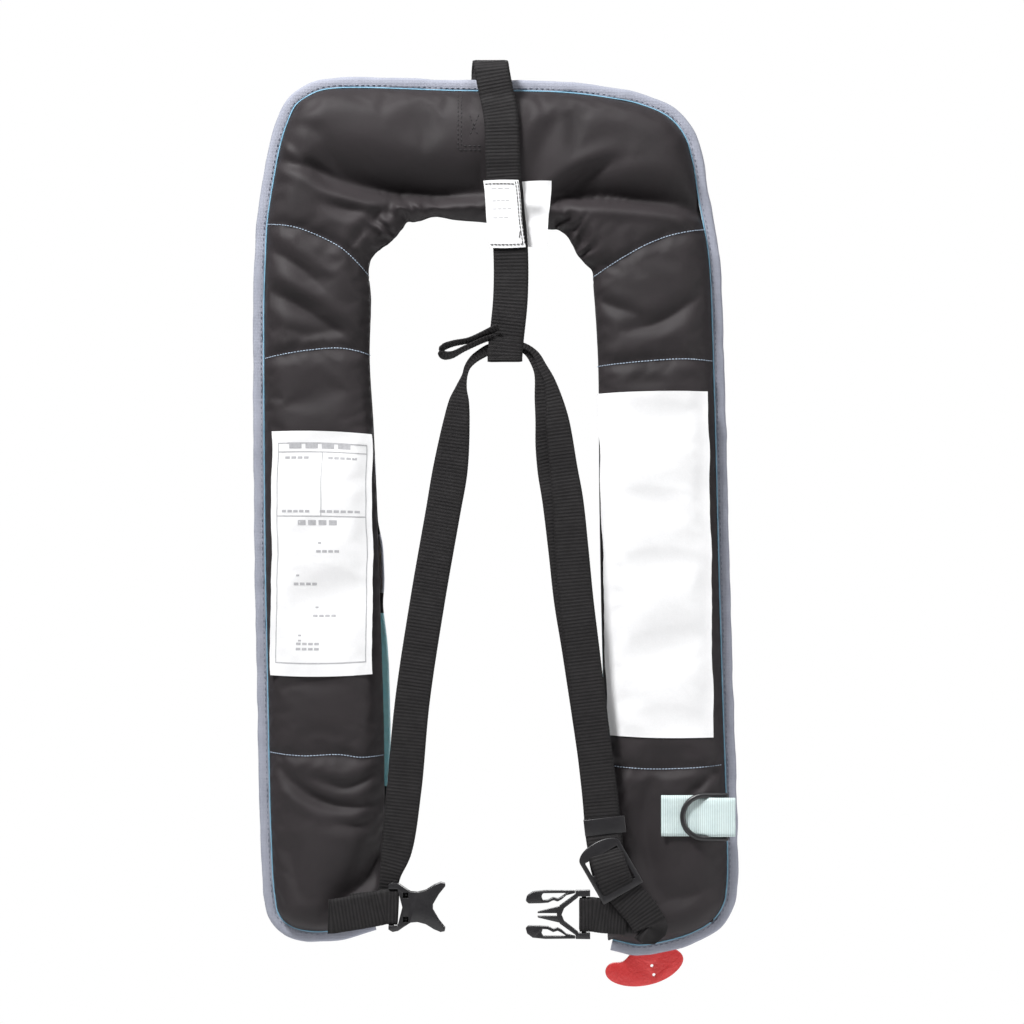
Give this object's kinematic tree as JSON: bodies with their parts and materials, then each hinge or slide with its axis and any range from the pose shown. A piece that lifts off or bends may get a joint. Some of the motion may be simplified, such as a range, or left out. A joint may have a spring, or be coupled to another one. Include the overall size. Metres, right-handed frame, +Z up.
{
  "type": "inflatable life jacket",
  "caption": "Horseshoe inflatable life jacket with back strap, waist belt, side-release buckle, D-ring, inflator and pull handle.",
  "frame": {"origin": "the top of the webbing bight that the jacket hangs by, at the back of the neck", "axes": "+X across the jacket towards the lobe with the inflator, +Z up, -Y towards the wearer and +Y towards the front cover"},
  "size_m": [0.354, 0.057, 0.6757],
  "materials": {
    "charcoal_cloth": "satin coated nylon",
    "black_cloth": "satin coated nylon",
    "teal_cloth": "coated nylon",
    "grey_binding": "woven tape",
    "hook_tape": "hook and loop",
    "yellow_bladder": "coated nylon",
    "silver_tape": "reflective film",
    "white_label": "satin label cloth",
    "black_webbing": "ribbed webbing",
    "pale_teal_webbing": "woven webbing",
    "black_plastic": "moulded acetal",
    "grey_plastic": "moulded nylon",
    "red_plastic": "pebbled",
    "orange_plastic": "moulded",
    "painted_steel": "painted",
    "bright_steel": "satin",
    "seal_rubber": "matte",
    "red_cord": "braided",
    "black_cord": "braided"
  },
  "bodies": {
    "jacket": {"collar_back_panel": "charcoal_cloth", "left_back_panel": "charcoal_cloth", "right_back_panel": "charcoal_cloth", "collar_front_cover": "black_cloth", "collar_binding": "grey_binding", "left_binding": "grey_binding", "right_binding": "grey_binding", "left_hook_strip": "hook_tape", "right_hook_strip": "hook_tape", "bladder": "yellow_bladder", "reflective_tape": "silver_tape", "inflation_label": "white_label", "approval_label": "white_label", "care_label": "white_label", "back_strap": "black_webbing", "strap_tab": "black_webbing", "belt_left": "black_webbing", "belt_right_inner": "black_webbing", "belt_right_outer": "black_webbing", "left_tail": "black_webbing", "right_tail": "black_webbing", "d_ring_webbing": "pale_teal_webbing", "cylinder_gasket": "seal_rubber", "inflator_body": "black_plastic", "lever_pin": "bright_steel", "manifold": "black_plastic", "manifold_nut": "black_plastic", "oral_tube": "black_plastic", "oral_valve_spring": "bright_steel", "whistle_cord": "black_cord"},
    "left_front_flap": {"left_flap": "teal_cloth", "left_loop_strip": "hook_tape"},
    "right_front_flap": {"right_flap": "teal_cloth", "right_loop_strip": "hook_tape"},
    "handle_and_cord": {"pull_handle": "red_plastic", "pull_cord": "red_cord"},
    "lever": {"pull_lever": "grey_plastic"},
    "pin": {"firing_pin": "bright_steel"},
    "cylinder": {"gas_cylinder": "painted_steel"},
    "valve": {"oral_valve_stem": "red_plastic"},
    "cap": {"oral_dust_cap": "black_plastic"},
    "whistle_body": {"whistle": "orange_plastic"},
    "ring": {"d_ring": "black_plastic"},
    "adjuster_frame": {"adjuster": "black_plastic"},
    "keeper": {"strap_keeper": "black_plastic"},
    "male_base": {"male_buckle": "black_plastic"},
    "upper_arm": {"latch_upper": "black_plastic"},
    "lower_arm": {"latch_lower": "black_plastic"},
    "female_body": {"female_buckle": "black_plastic"}
  },
  "joints": [
    {"name": "left_flap_open", "type": "hinge", "parent": "jacket", "child": "left_front_flap", "pos_m": [-0.085, 0.0016, -0.154], "axis": [0.0222, 0, -0.9998], "range_deg": [0, 110]},
    {"name": "right_flap_open", "type": "hinge", "parent": "jacket", "child": "right_front_flap", "pos_m": [0.0755, 0.0016, -0.154], "axis": [-0.0185, 0, 0.9998], "range_deg": [0, 110]},
    {"name": "handle_pull", "type": "slide", "parent": "jacket", "child": "handle_and_cord", "axis": [0, 0, -1], "range_m": [0, 0.03441]},
    {"name": "lever_turn", "type": "hinge", "parent": "jacket", "child": "lever", "pos_m": [0.136, 0.0021, -0.59], "axis": [0, -1, 0], "range_deg": [0, 70.2]},
    {"name": "pin_lift", "type": "slide", "parent": "jacket", "child": "pin", "axis": [0, 0, 1], "range_m": [0, 0.00302]},
    {"name": "cylinder_unscrew", "type": "hinge", "parent": "jacket", "child": "cylinder", "pos_m": [0.136, 0.003, -0.5], "axis": [0, 0, 1], "range_deg": [0, 360]},
    {"name": "oral_valve_press", "type": "slide", "parent": "jacket", "child": "valve", "axis": [0, 0, -1], "range_m": [0, 0.003], "stiffness_N_per_m": 300, "springref_m": -0.002, "deforming": ["oral_valve_spring"]},
    {"name": "dust_cap_lift", "type": "slide", "parent": "jacket", "child": "cap", "axis": [0, 0, 1], "range_m": [0, 0.014]},
    {"name": "whistle_swing", "type": "hinge", "parent": "jacket", "child": "whistle_body", "pos_m": [-0.122, 0.004, -0.355], "axis": [0, 1, 0], "range_deg": [-15, 15]},
    {"name": "d_ring_swing", "type": "hinge", "parent": "jacket", "child": "ring", "pos_m": [0.171, -0.027, -0.5495], "axis": [0, 0, 1], "range_deg": [0, 165]},
    {"name": "adjuster_tilt", "type": "hinge", "parent": "jacket", "child": "adjuster_frame", "pos_m": [0.087, -0.032, -0.5877], "axis": [0.866, 0, 0.5], "range_deg": [0, 25]},
    {"name": "keeper_slide", "type": "slide", "parent": "jacket", "child": "keeper", "axis": [-0.1135, 0, 0.9935], "range_m": [0, 0.03]},
    {"name": "male_buckle_swing", "type": "hinge", "parent": "jacket", "child": "male_base", "pos_m": [0.068, -0.0305, -0.6195], "axis": [0, 0, 1], "range_deg": [-20, 60], "deforming": ["right_tail"]},
    {"name": "upper_latch_flex", "type": "hinge", "parent": "male_base", "child": "upper_arm", "pos_m": [0.0605, -0.0305, -0.6031], "axis": [0, -1, 0], "range_deg": [0, 6], "stiffness_Nm_per_rad": 2},
    {"name": "lower_latch_flex", "type": "hinge", "parent": "male_base", "child": "lower_arm", "pos_m": [0.0605, -0.0305, -0.6359], "axis": [0, 1, 0], "range_deg": [0, 6], "stiffness_Nm_per_rad": 2},
    {"name": "female_buckle_swing", "type": "hinge", "parent": "jacket", "child": "female_body", "pos_m": [-0.0705, -0.0305, -0.614], "axis": [0, 0, 1], "range_deg": [-60, 0], "deforming": ["left_tail"]}
  ],
  "couplings": [
    {"joint": "lever_turn", "follows": "handle_pull", "rad_per_m": 35.505},
    {"joint": "pin_lift", "follows": "handle_pull", "ratio": 0.08718},
    {"joint": "lower_latch_flex", "follows": "upper_latch_flex", "ratio": 1}
  ]
}
